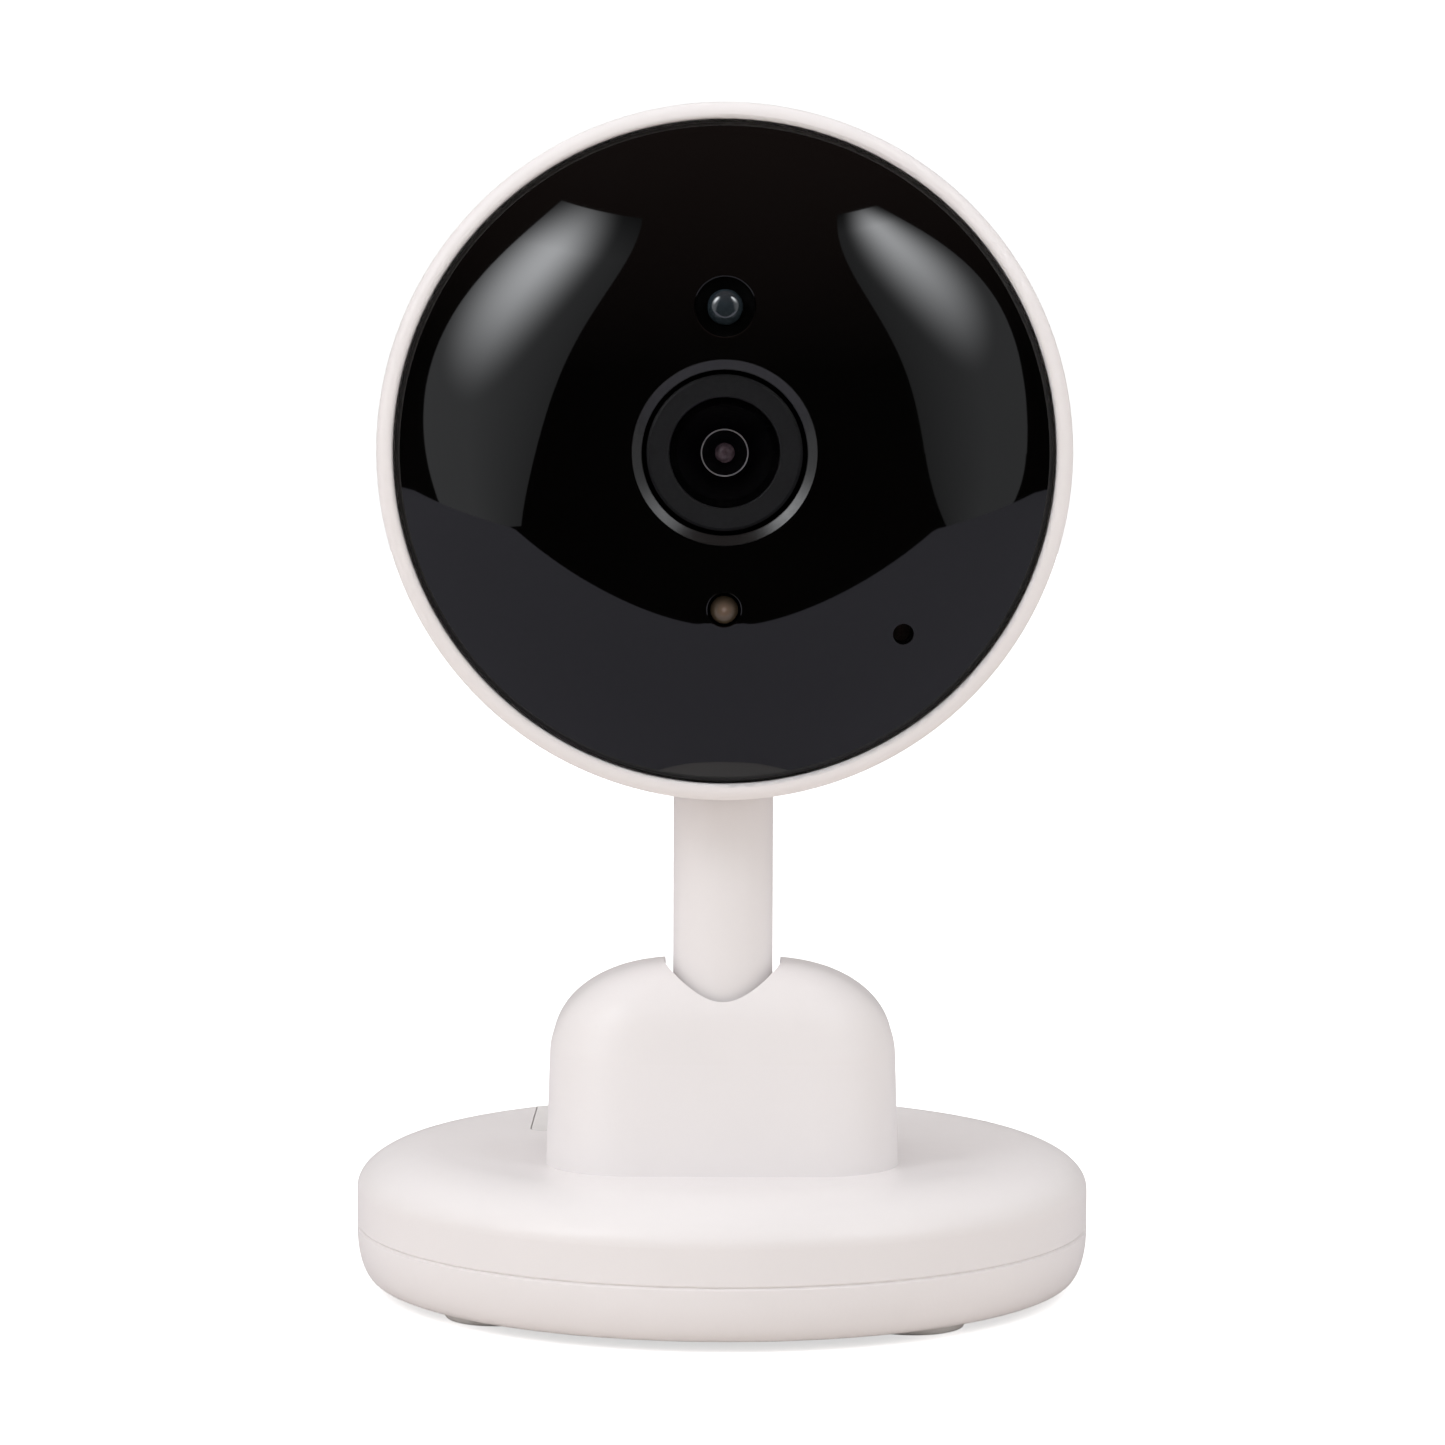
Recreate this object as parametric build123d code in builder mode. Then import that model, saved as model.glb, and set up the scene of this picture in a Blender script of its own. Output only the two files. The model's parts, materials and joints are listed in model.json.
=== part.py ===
from build123d import *

import os
from math import cos, radians, sin, sqrt

# A baby monitor camera on a folding stand. A weighted round base carries a hinge housing, a stem tilts back
# in the housing's open slot, and a round head turns about the stem's top.
# Millimetres. The origin is the middle of the base where its feet stand, +Z is up and -Y is the lens side.

# ---- driving dimensions: base ----
base_radius = 35.0
base_height = 12.5
foot_height = 1.0
seam_height = 5.1
shoulder_width = 7.5
shoulder_drop = 3.9
lower_edge_width = 1.8
lower_edge_height = 4.6
base_wall = 2.0
seam_chamfer = 0.2
lip_height = 1.5
lip_wall = 1.4
lip_clearance = 0.1

foot_radius = 4.9
foot_recess = 0.6
foot_circle_radius = 27.0
foot_turn = -5.0
foot_edge = 0.35

cover_screw_radius = 1.1
cover_screw_head_radius = 2.1
cover_screw_head_height = 1.3
cover_screw_length = 8.0
cover_boss_radius = 3.6
cover_boss_height = 1.6
shell_boss_radius = 3.0

ballast_radius = 22.0
ballast_thickness = 4.0

keyhole_spacing = 40.0
keyhole_entry_radius = 3.6
keyhole_slot_radius = 1.9
keyhole_travel = 6.0
keyhole_front = -3.0

# Cuts run this far past the faces that they open, and a cross slot has these shares of its screw head.
cut_margin = 1.0
cross_slot_length = 1.2
cross_slot_width = 0.25
cross_slot_depth = 0.5

# ---- driving dimensions: grey insert behind the hinge housing ----
insert_left = -18.7
insert_width = 10.0
insert_near = 6.3
insert_far = 24.5
insert_corner = 1.5
insert_thickness = 0.8
insert_gap = 0.12

# ---- driving dimensions: hinge housing ----
housing_half_width = 16.2
housing_height = 19.0
housing_front = -19.9
housing_rear = 6.0
housing_front_slope = 11.8
housing_front_round = 7.15
housing_shoulder_width = 13.0
housing_shoulder_height = 9.0
housing_flare = 0.25
housing_plan_corner = 8.0
housing_ridge_corner = 0.3
housing_wall = 2.0
cheek_thickness = 2.0

# ---- driving dimensions: stem and hinge ----
stem_y = -10.75
stem_radius = 4.65
stem_clearance = 0.8
pivot_height = 19.5
tongue_half_width = 3.6
pin_radius = 1.5
running_clearance = 0.05
washer_radius = 4.3
hinge_screw_head_radius = 2.8
hinge_screw_head_height = 2.0
spring_washer_thickness = 0.5
nut_radius = 2.75
nut_thickness = 2.0
housing_screw_radius = 1.25
housing_screw_head_radius = 2.3
housing_screw_head_height = 1.5
housing_screw_x = 12.4
housing_screw_bite = 4.0
housing_boss_radius = 2.2
housing_boss_cap = 0.5
housing_screw_front = -10.0
housing_screw_rear = 0.8

# ---- driving dimensions: head ----
head_height = 79.7
head_radius = 31.6
head_wall = 1.8
back_face = 4.0
back_round = 12.0
part_line = -16.5
ring_lip = -20.9
ring_lip_round = 1.1
ring_inner_round = 0.35
window_radius = 29.9
window_gap = 0.15
window_sphere = 50.0
window_apex = -30.2
window_thickness = 2.0
window_seat = -18.5
window_bevel = 0.25
flange_inner_radius = 20.0
flange_thickness = 1.5
tongue_depth = 2.0
tongue_wall = 1.2

lens_hole_radius = 8.25
trim_inner_radius = 7.35
trim_depth = 2.3
trim_dish = 0.42
trim_land = 0.06
hole_chamfer = 0.08
barrel_cap_radius = 6.93
barrel_face = -29.0
barrel_cap_length = 3.5
barrel_thread_radius = 6.0
barrel_rear = -15.5
front_glass_radius = 4.93
front_glass_edge = 0.9
front_glass_thickness = 2.0
front_glass_sphere = 13.0
inner_glass_radius = 2.0
rear_glass_radius = 3.4
rear_glass_thickness = 1.5
rear_glass_recess = 2.0
inner_glass_thickness = 2.0
inner_glass_recess = 0.3
inner_glass_edge = 0.3
spacer_land = 0.2
spacer_wall = 0.7
cone_length = 2.4
throat_length = 1.2

sensor_rise = 12.9
sensor_recess_radius = 2.69
sensor_tip_recess = 0.3
sensor_body_radius = 1.58
led_drop = 13.95
led_hole_radius = 1.51
led_radius = 1.25
led_tip_recess = 0.25
mic_x = 16.1
mic_drop = 16.2
mic_hole_radius = 0.95
mic_boot_radius = 2.9
mic_boot_gap = 0.3
mic_boot_depth = 2.4
mic_boot_front_wall = 0.8
mic_port_radius = 0.8
mic_radius = 2.0
mic_thickness = 1.5

led_board_inner = 9.0
led_board_outer = 23.0
led_board_thickness = 1.0
led_board_notch = 2.0
infrared_circle = 17.0
infrared_count = 6
infrared_side = 3.0
infrared_corner = 0.3
infrared_thickness = 0.8

head_screw_circle = 25.5
head_screw_radius = 1.0
head_screw_head_radius = 1.8
head_screw_head_height = 1.0
head_screw_length = 9.0
head_boss_radius = 2.6
boss_rear_gap = 1.5

holder_bore_clearance = 0.05
holder_tube_radius = 7.6
holder_tube_front = -22.5
holder_half_width = 9.0
holder_box_depth = 5.2
holder_wall = 1.0
holder_ear_reach = 13.0
holder_ear_half_height = 2.6
holder_ear_thickness = 2.0
filter_travel = 4.8
filter_slide_thickness = 0.6
filter_window_radius = 1.95
slide_gap = 0.4
slide_end_wall = 0.9
slide_side_wall = 1.6
actuator_width = 8.0
actuator_height = 5.0
actuator_corner = 0.5
actuator_rear_gap = 0.4
holder_screw_radius = 0.8
holder_screw_head_radius = 1.5
holder_screw_head_height = 0.8

sensor_board_half_width = 14.0
sensor_board_half_height = 14.0
board_corner = 1.5
image_sensor_width = 6.6
image_sensor_height = 6.2
image_sensor_thickness = 1.2
connector_width = 12.0
connector_height = 3.6
connector_drop = 7.0
shield_place = (-11.0, 3.0)
shield_width = 14.0
shield_height = 16.0
shield_depth = 2.2
shield_corner = 0.8
processor_place = (-14.0, -6.0)
processor_side = 9.0
processor_thickness = 1.1
board_thickness = 1.0
sensor_board_front = -10.0
main_board_front = -5.0
main_board_radius = 22.5
card_tab_reach = 27.3
card_tab_half_height = 8.0

speaker_radius = 10.0
speaker_rise = 9.0
speaker_depth = 4.2
speaker_front = -3.2
speaker_magnet_radius = 6.0
speaker_rim = 1.2
speaker_cone_depth = 0.8
grille_hole_radius = 0.6
grille_pitch = 2.4
grille_rings = 3

antenna_reach = 26.7
antenna_rise = 4.0
antenna_length = 16.0
antenna_width = 6.5
antenna_thickness = 0.4
antenna_corner = 0.5

port_drop = 13.5
usb_width = 7.6
usb_height = 3.0
usb_wall = 0.35
usb_opening_margin = 0.4
usb_mouth = 3.4
usb_corner = 0.8
usb_opening_width = usb_width + 2 * usb_opening_margin
usb_opening_height = usb_height + 2 * usb_opening_margin
usb_floor = 1.5
usb_tongue_width = 4.4
usb_tongue_thickness = 0.7
usb_tongue_recess = 0.7
button_x = 9.5
button_radius = 1.4
button_clearance = 0.25
button_flange_radius = 2.3
button_flange_thickness = 0.7
button_proud = 0.2
button_travel = 0.3
button_edge = 0.3
switch_side = 4.5
switch_corner = 0.4
switch_depth = 3.4
switch_pin_radius = 1.1
card_slot_width = 12.4
card_slot_height = 1.7
card_slot_corner = 0.8
card_socket_depth = 15.0
card_socket_width = 14.0
card_width = 11.2
card_thickness = 1.0
card_shelf = 0.3
card_stop = 1.5

swivel_stem_top = 52.0
spigot_radius = 3.5
spigot_length = 5.05
collar_radius = 6.8
collar_top = 57.0
swivel_washer_radius = 5.4
swivel_washer_thickness = 0.8
swivel_gap = 0.05
swivel_screw_radius = 1.25
swivel_screw_head_radius = 2.4
swivel_screw_head_height = 1.6
swivel_screw_length = 10.0

# ---- sizes worked out from the driving ones ----
base_bottom = foot_height
base_top = foot_height + base_height
seam = foot_height + seam_height
cover_floor_top = base_bottom + base_wall
shell_ceiling = base_top - base_wall
ballast_bottom = shell_ceiling - ballast_thickness
slot_half_width = stem_radius + stem_clearance
cheek_outer = slot_half_width + cheek_thickness
housing_top = base_top + housing_height
slot_floor = pivot_height - stem_radius - stem_clearance
cavity_radius = head_radius - head_wall
window_center = window_apex + window_sphere
window_inner_sphere = window_sphere - window_thickness
ring_inner_radius = window_radius + window_gap
flange_back = window_seat + flange_thickness
led_board_front = window_seat - led_board_thickness
sensor_board_back = sensor_board_front + board_thickness
main_board_back = main_board_front + board_thickness
back_inner = back_face - head_wall
foot_angles = [45 + foot_turn + 90 * turn for turn in range(4)]
foot_places = [
    (foot_circle_radius * cos(radians(angle)), foot_circle_radius * sin(radians(angle)))
    for angle in foot_angles
]
head_screw_angles = (90, 210, 330)
head_screw_places = [
    (head_screw_circle * cos(radians(angle)), head_screw_circle * sin(radians(angle)))
    for angle in head_screw_angles
]
mic_place = (mic_x, -mic_drop)
head_axis = Axis((0, 0, head_height), (0, 1, 0))
pivot = (0, stem_y, pivot_height)


def head_plane(y):
    """A plane square to the lens axis, seen from the front: local x is +X and local y is up."""
    return Plane(origin=(0, y, head_height), x_dir=(1, 0, 0), z_dir=(0, -1, 0))


def rear_plane(y):
    """The same plane seen from the rear: local x is -X, local y is up and the normal points backwards."""
    return Plane(origin=(0, y, head_height), x_dir=(-1, 0, 0), z_dir=(0, 1, 0))


# Half sections of the head's round pieces: local x is the radius and local y runs to the rear.
head_section = Plane(origin=(0, 0, head_height), x_dir=(1, 0, 0), z_dir=(0, 0, 1))


def hinge_plane(x):
    """A plane square to the hinge pin at the given x, centred on the pin, with its normal along +X."""
    return Plane(origin=(x, stem_y, pivot_height), x_dir=(0, 1, 0), z_dir=(1, 0, 0))


def window_outer_y(radius):
    """Where the window's outer face is at a distance from the lens axis."""
    return window_center - sqrt(window_sphere**2 - radius**2)


def window_inner_y(radius):
    """Where the window's inner face is at a distance from the lens axis."""
    return window_center - sqrt(window_inner_sphere**2 - radius**2)


def save(piece, name):
    """Labels a finished piece and writes it as a STEP file of the same name."""
    piece.part.label = name
    export_step(piece.part, f"parts/{name}.step")


def base_section(inset, floor):
    """Half section of the base's upper part, from its axis to the wall, drawn in by an inset."""
    flat = base_radius - shoulder_width
    top = base_top - inset
    wall = base_radius - inset
    drop = shoulder_drop - inset / 2
    with BuildSketch(Plane.XZ) as section:
        with BuildLine():
            Polyline((flat, top), (0, top), (0, floor), (wall, floor), (wall, top - drop))
            EllipticalCenterArc((flat, top - drop), wall - flat, drop, 0, arc_size=90)
        make_face()
    return section.sketch


def screw_set(plane, places, head_radius, head_height, shaft_radius, length):
    """Pan-head screws with crossed slots: the plane is under their heads, its normal along the shafts."""
    with BuildPart() as screws:
        with BuildSketch(plane):
            with Locations(*places):
                Circle(head_radius)
        extrude(amount=-head_height)
        with BuildSketch(plane):
            with Locations(*places):
                Circle(shaft_radius)
        extrude(amount=length)
        with BuildSketch(plane.offset(-head_height)):
            with Locations(*places):
                Rectangle(cross_slot_length * head_radius, cross_slot_width * head_radius)
                Rectangle(cross_slot_width * head_radius, cross_slot_length * head_radius)
        extrude(amount=cross_slot_depth * head_height, mode=Mode.SUBTRACT)
    return screws


os.makedirs("parts", exist_ok=True)

# ==== base ====
# A grey insert fills a shallow pocket in the base's top and follows its surface.
insert_middle = (insert_left + insert_width / 2, (insert_near + insert_far) / 2)
insert_length = insert_far - insert_near


def insert_shape(gap):
    """The insert's outline, grown by a gap, cut from a thin skin of the base's top."""
    with BuildPart() as shape:
        revolve(base_section(0, seam), axis=Axis.Z)
        revolve(base_section(insert_thickness, seam), axis=Axis.Z, mode=Mode.SUBTRACT)
        with BuildSketch(Plane.XY.offset(seam)):
            with Locations(insert_middle):
                RectangleRounded(insert_width + 2 * gap, insert_length + 2 * gap, insert_corner + gap)
        extrude(amount=base_height, mode=Mode.INTERSECT)
    return shape.part


insert_pocket = insert_shape(insert_gap)
insert_body = insert_shape(0)

with BuildPart() as rear_insert:
    add(insert_body)
save(rear_insert, "rear_insert")

housing_screw_places = [
    (side * housing_screw_x, y) for side in (-1, 1) for y in (housing_screw_front, housing_screw_rear)
]
shell_boss_bottom = cover_floor_top + cover_boss_height + running_clearance
cover_screw_seat = base_bottom + foot_recess + cover_screw_head_height
lip_outer = base_radius - base_wall - lip_clearance

with BuildPart() as base_top_shell:
    revolve(base_section(0, seam), axis=Axis.Z)
    chamfer(base_top_shell.edges().group_by(Axis.Z)[0].sort_by(SortBy.RADIUS)[-1], seam_chamfer)
    revolve(base_section(base_wall, seam), axis=Axis.Z, mode=Mode.SUBTRACT)
    with BuildSketch(Plane.XY.offset(shell_boss_bottom)):
        with Locations(*foot_places):
            Circle(shell_boss_radius)
            Circle(cover_screw_radius, mode=Mode.SUBTRACT)
    extrude(amount=shell_ceiling + base_wall / 2 - shell_boss_bottom)
    with BuildSketch(Plane.XY.offset(shell_ceiling - cut_margin)):
        with Locations(*housing_screw_places):
            Circle(housing_screw_radius + running_clearance)
    extrude(amount=base_wall + 2 * cut_margin, mode=Mode.SUBTRACT)
    add(insert_pocket, mode=Mode.SUBTRACT)
save(base_top_shell, "base_top_shell")

with BuildPart() as base_bottom_cover:
    with BuildSketch(Plane.XZ):
        with BuildLine():
            Polyline(
                (base_radius, base_bottom + lower_edge_height),
                (base_radius, seam),
                (0, seam),
                (0, base_bottom),
                (base_radius - lower_edge_width, base_bottom),
            )
            EllipticalCenterArc(
                (base_radius - lower_edge_width, base_bottom + lower_edge_height),
                lower_edge_width,
                lower_edge_height,
                -90,
                arc_size=90,
            )
        make_face()
    revolve(axis=Axis.Z)
    chamfer(base_bottom_cover.edges().group_by(Axis.Z)[-1], seam_chamfer)
    with BuildSketch(Plane.XY.offset(seam)):
        Circle(lip_outer)
    extrude(amount=lip_height)
    with BuildSketch(Plane.XY.offset(cover_floor_top)):
        Circle(lip_outer - lip_wall)
    extrude(amount=seam + lip_height - cover_floor_top, mode=Mode.SUBTRACT)
    with BuildSketch(Plane.XY.offset(cover_floor_top - base_wall / 2)):
        with Locations(*foot_places):
            Circle(cover_boss_radius)
    extrude(amount=base_wall / 2 + cover_boss_height)
    with BuildSketch(Plane.XY.offset(base_bottom)):
        with Locations(*foot_places):
            Circle(foot_radius + lip_clearance)
    extrude(amount=foot_recess, mode=Mode.SUBTRACT)
    with BuildSketch(Plane.XY.offset(base_bottom)):
        with Locations(*foot_places):
            Circle(cover_screw_head_radius + running_clearance)
    extrude(amount=foot_recess + cover_screw_head_height, mode=Mode.SUBTRACT)
    with BuildSketch(Plane.XY.offset(base_bottom)):
        with Locations(*foot_places):
            Circle(cover_screw_radius + running_clearance)
    extrude(amount=base_height / 2, mode=Mode.SUBTRACT)
    with BuildSketch(Plane.XY.offset(base_bottom - cut_margin)):
        for side in (-1, 1):
            with Locations((side * keyhole_spacing / 2, keyhole_front)):
                Circle(keyhole_entry_radius)
            with Locations((side * keyhole_spacing / 2, keyhole_front + keyhole_travel / 2)):
                SlotOverall(keyhole_travel + 2 * keyhole_slot_radius, 2 * keyhole_slot_radius, rotation=90)
    extrude(amount=base_wall + 2 * cut_margin, mode=Mode.SUBTRACT)
save(base_bottom_cover, "base_bottom_cover")

with BuildPart() as ballast_plate:
    with BuildSketch(Plane.XY.offset(ballast_bottom)):
        Circle(ballast_radius)
        with Locations(*housing_screw_places):
            Circle(housing_screw_radius + running_clearance, mode=Mode.SUBTRACT)
    extrude(amount=ballast_thickness)
save(ballast_plate, "ballast_plate")

with BuildPart() as rubber_feet:
    with BuildSketch(Plane.XY):
        with Locations(*foot_places):
            Circle(foot_radius)
    extrude(amount=foot_height + foot_recess)
    fillet(rubber_feet.edges().group_by(Axis.Z)[0], foot_edge)
save(rubber_feet, "rubber_feet")

cover_screws = screw_set(
    Plane.XY.offset(cover_screw_seat),
    foot_places,
    cover_screw_head_radius,
    cover_screw_head_height,
    cover_screw_radius,
    cover_screw_length - cover_screw_head_height,
)
save(cover_screws, "cover_screws")

housing_screws = screw_set(
    Plane.XY.offset(ballast_bottom),
    housing_screw_places,
    housing_screw_head_radius,
    housing_screw_head_height,
    housing_screw_radius,
    ballast_thickness + base_wall + housing_screw_bite - running_clearance,
)
save(housing_screws, "housing_screws")

# ==== hinge housing ====
shoulder_start = housing_top - housing_shoulder_height
round_center = housing_top - housing_front_round
slope = radians(housing_front_slope)
slope_top = round_center + housing_front_round * sin(slope)
slope_run = (slope_top - base_top) * sin(slope) / cos(slope)
ridge_y = housing_front + slope_run + housing_front_round * cos(slope)


def housing_section(z, inset):
    """Half width, front y, rear y and corner radius of the housing's plan at a height.

    Above the shoulders the sides and the rear close in as quarter ellipses, and the front as an arc, all of them
    level at the ridge.
    """
    share = 1
    half = housing_half_width + housing_flare * (shoulder_start - z) / (shoulder_start - base_top)
    if z > shoulder_start:
        share = sqrt(1 - ((z - shoulder_start) / housing_shoulder_height) ** 2)
        half = housing_half_width - housing_shoulder_width * (1 - share)
    if z > slope_top:
        front = ridge_y - sqrt(housing_front_round**2 - (z - round_center) ** 2)
    else:
        front = housing_front + (z - base_top) * sin(slope) / cos(slope)
    rear = ridge_y + (housing_rear - ridge_y) * share
    corner = housing_ridge_corner + (housing_plan_corner - housing_ridge_corner) * share
    return half - inset, front + inset, rear - inset, corner - inset / 2


def housing_solid(heights, inset, straight):
    """A loft through the housing's plan at several heights, drawn in by an inset."""
    with BuildPart() as solid:
        for z in heights:
            half, front, rear, corner = housing_section(z, inset)
            with BuildSketch(Plane(origin=(0, (front + rear) / 2, z))):
                RectangleRounded(2 * half, rear - front, corner)
        loft(ruled=straight)
    return solid.part


round_angles = (0, 10, 20, 30, 40, 50, 60, 69, 77, 84)
round_heights = [shoulder_start + housing_shoulder_height * sin(radians(angle)) for angle in round_angles]
pocket_top = housing_top - 3 * housing_wall
housing_lower = housing_solid([base_top, shoulder_start], 0, True)
housing_upper = housing_solid(round_heights, 0, False)
housing_pocket = housing_solid([base_top, shoulder_start], housing_wall, True)

with BuildPart() as housing_outside:
    add(housing_lower)
    add(housing_upper)

housing_body = housing_outside.part

with BuildPart() as housing_posts:
    with BuildSketch(Plane.XY.offset(base_top)):
        with Locations(*housing_screw_places):
            Circle(housing_boss_radius)
    extrude(amount=housing_screw_bite + housing_boss_cap)

with BuildPart() as hinge_housing:
    add(housing_body)
    add(housing_pocket, mode=Mode.SUBTRACT)
    with BuildSketch(Plane.XY.offset(base_top)):
        with Locations((0, (housing_front + housing_rear) / 2)):
            Rectangle(2 * cheek_outer, housing_rear - housing_front)
    extrude(amount=pocket_top - base_top)
    add(housing_posts.part)
    add(housing_body, mode=Mode.INTERSECT)
    with BuildSketch(Plane.XY.offset(slot_floor)):
        with Locations((0, stem_y)):
            Circle(slot_half_width)
        with Locations((0, stem_y + base_radius / 2)):
            Rectangle(2 * slot_half_width, base_radius)
    extrude(amount=housing_height, mode=Mode.SUBTRACT)
    with BuildSketch(hinge_plane(-slot_half_width)):
        Circle(washer_radius + stem_clearance)
    extrude(amount=2 * slot_half_width, mode=Mode.SUBTRACT)
    with BuildSketch(hinge_plane(-housing_half_width + housing_wall)):
        Circle(pin_radius + running_clearance)
    extrude(amount=2 * (housing_half_width - housing_wall), mode=Mode.SUBTRACT)
    with BuildSketch(Plane.XY.offset(base_top)):
        with Locations(*housing_screw_places):
            Circle(housing_screw_radius)
    extrude(amount=housing_screw_bite, mode=Mode.SUBTRACT)
save(hinge_housing, "hinge_housing")

# ==== stem and hinge ====
spigot_top = swivel_stem_top + spigot_length

with BuildPart() as stem:
    with BuildSketch(Plane.XY.offset(pivot_height)):
        with Locations((0, stem_y)):
            Circle(stem_radius)
    extrude(amount=swivel_stem_top - pivot_height)
    with Locations(pivot):
        Sphere(stem_radius)
    with BuildSketch(Plane.XY.offset(swivel_stem_top)):
        with Locations((0, stem_y)):
            Circle(spigot_radius)
    extrude(amount=spigot_length)
    for side in (-1, 1):
        with BuildSketch(hinge_plane(side * tongue_half_width)):
            Circle(washer_radius + 2 * stem_clearance)
        extrude(amount=side * stem_radius, mode=Mode.SUBTRACT)
    with BuildSketch(hinge_plane(-stem_radius)):
        Circle(pin_radius + running_clearance)
    extrude(amount=2 * stem_radius, mode=Mode.SUBTRACT)
    with BuildSketch(Plane.XY.offset(spigot_top)):
        with Locations((0, stem_y)):
            Circle(swivel_screw_radius)
    extrude(amount=-swivel_screw_length, mode=Mode.SUBTRACT)
save(stem, "stem")

with BuildPart() as friction_washers:
    for side in (-1, 1):
        with BuildSketch(hinge_plane(side * (tongue_half_width + running_clearance))):
            Circle(washer_radius)
            Circle(pin_radius + running_clearance, mode=Mode.SUBTRACT)
        extrude(amount=side * (slot_half_width - tongue_half_width - running_clearance))
save(friction_washers, "friction_washers")

hinge_screw = screw_set(
    hinge_plane(-cheek_outer),
    [(0, 0)],
    hinge_screw_head_radius,
    hinge_screw_head_height,
    pin_radius,
    2 * cheek_outer + spring_washer_thickness + nut_thickness,
)
save(hinge_screw, "hinge_screw")

with BuildPart() as spring_washer:
    with BuildSketch(hinge_plane(cheek_outer)):
        Circle(nut_radius)
        Circle(pin_radius + running_clearance, mode=Mode.SUBTRACT)
    extrude(amount=spring_washer_thickness)
save(spring_washer, "spring_washer")

with BuildPart() as hinge_nut:
    with BuildSketch(hinge_plane(cheek_outer + spring_washer_thickness)):
        RegularPolygon(nut_radius, 6, major_radius=False)
        Circle(pin_radius, mode=Mode.SUBTRACT)
    extrude(amount=nut_thickness)
save(hinge_nut, "hinge_nut")

washer_bottom = spigot_top

with BuildPart() as swivel_washer:
    with BuildSketch(Plane.XY.offset(washer_bottom)):
        with Locations((0, stem_y)):
            Circle(swivel_washer_radius)
            Circle(swivel_screw_radius + running_clearance, mode=Mode.SUBTRACT)
    extrude(amount=swivel_washer_thickness)
save(swivel_washer, "swivel_washer")

swivel_screw = screw_set(
    Plane(origin=(0, stem_y, washer_bottom + swivel_washer_thickness), z_dir=(0, 0, -1)),
    [(0, 0)],
    swivel_screw_head_radius,
    swivel_screw_head_height,
    swivel_screw_radius,
    swivel_screw_length - swivel_screw_head_height,
)
save(swivel_screw, "swivel_screw")

# ==== head: covers ====
collar_bottom = head_height - window_radius
collar_ledge = swivel_stem_top + swivel_gap


def back_shell_section(inset):
    """Half section of the head's rear cover, from its axis to the wall, drawn in by an inset."""
    flat = head_radius - back_round
    back = back_face - inset
    curve = back_round - inset
    with BuildSketch(head_section) as section:
        with BuildLine():
            Polyline(
                (flat, back),
                (0, back),
                (0, part_line),
                (flat + curve, part_line),
                (flat + curve, back - curve),
            )
            CenterArc((flat, back - curve), curve, 0, 90)
        make_face()
    return section.sketch


speaker_center = (0, speaker_rise)
grille_places = [speaker_center]
for ring in range(1, grille_rings + 1):
    for step in range(6 * ring):
        turn = radians(60 * step / ring)
        reach = ring * grille_pitch
        grille_places.append((reach * cos(turn), speaker_rise + reach * sin(turn)))

with BuildPart() as back_shell:
    revolve(back_shell_section(0), axis=head_axis)
    revolve(back_shell_section(head_wall), axis=head_axis, mode=Mode.SUBTRACT)
    with BuildSketch(head_plane(flange_back + running_clearance)):
        with Locations(*head_screw_places):
            Circle(head_boss_radius)
            Circle(head_screw_radius, mode=Mode.SUBTRACT)
    extrude(amount=-(back_inner - flange_back - boss_rear_gap))
    with BuildSketch(Plane.XY.offset(collar_bottom)):
        with Locations((0, stem_y)):
            Circle(collar_radius)
    extrude(amount=collar_top - collar_bottom)
    with BuildSketch(Plane.XY.offset(head_height - head_radius - cut_margin)):
        with Locations((0, stem_y)):
            Circle(stem_radius + stem_clearance)
    extrude(amount=collar_ledge - (head_height - head_radius - cut_margin), mode=Mode.SUBTRACT)
    with BuildSketch(Plane.XY.offset(collar_ledge - cut_margin)):
        with Locations((0, stem_y)):
            Circle(spigot_radius + running_clearance)
    extrude(amount=collar_top - collar_ledge + 2 * cut_margin, mode=Mode.SUBTRACT)
    with BuildSketch(head_plane(back_face + cut_margin)):
        with Locations(*grille_places):
            Circle(grille_hole_radius)
        with Locations((0, -port_drop)):
            RectangleRounded(usb_opening_width, usb_opening_height, usb_corner)
        with Locations((button_x, -port_drop)):
            Circle(button_radius + button_clearance)
    extrude(amount=head_wall + 2 * cut_margin, mode=Mode.SUBTRACT)
    with BuildSketch(Plane.YZ.offset(main_board_radius)):
        with Locations((main_board_front - card_slot_height / 2, head_height)):
            RectangleRounded(card_slot_height, card_slot_width, card_slot_corner)
    extrude(amount=head_radius, mode=Mode.SUBTRACT)
save(back_shell, "back_shell")


def ring_section():
    """Half section of the front ring: a rounded lip, a wall, a flange for the window and a rear tongue."""
    tongue_outer = cavity_radius - lip_clearance
    with BuildSketch(head_section) as section:
        with BuildLine():
            Polyline(
                (ring_inner_radius, ring_lip),
                (head_radius, ring_lip),
                (head_radius, part_line),
                (tongue_outer, part_line),
                (tongue_outer, part_line + tongue_depth),
                (tongue_outer - tongue_wall, part_line + tongue_depth),
                (tongue_outer - tongue_wall, flange_back),
                (flange_inner_radius, flange_back),
                (flange_inner_radius, window_seat),
                (ring_inner_radius, window_seat),
                close=True,
            )
        make_face()
        lip_corners = section.vertices().group_by(Axis.Y)[0].sort_by(Axis.X)
        fillet(lip_corners[-1], ring_lip_round)
        lip_corners = section.vertices().group_by(Axis.Y)[0].sort_by(Axis.X)
        fillet(lip_corners[0], ring_inner_round)
    return section.sketch


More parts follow.
